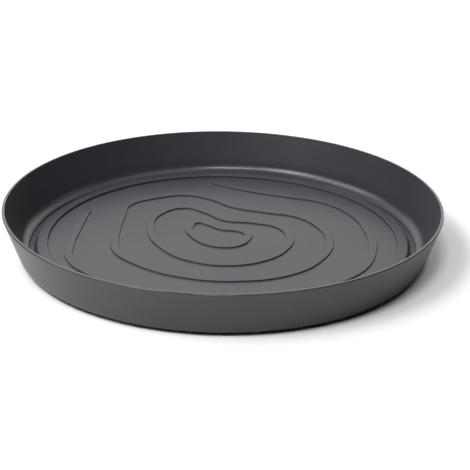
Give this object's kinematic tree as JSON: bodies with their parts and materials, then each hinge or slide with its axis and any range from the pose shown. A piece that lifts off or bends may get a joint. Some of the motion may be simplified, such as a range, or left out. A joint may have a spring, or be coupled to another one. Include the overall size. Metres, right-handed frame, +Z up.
{
  "type": "plant saucer",
  "caption": "Round shallow plant saucer with a leaning wall, a gutter, a ring ridge and raised contour ribs that hold a pot clear of drained water.",
  "frame": {"origin": "centre of the saucer on the ground that it stands on", "axes": "+Z up out of the saucer; X and Y level, with +Y away from the viewer of the picture"},
  "size_m": [0.35, 0.35, 0.0387],
  "materials": {
    "anthracite_plastic": "fine matt moulded surface"
  },
  "bodies": {
    "root": {"saucer": "anthracite_plastic"}
  },
  "joints": []
}
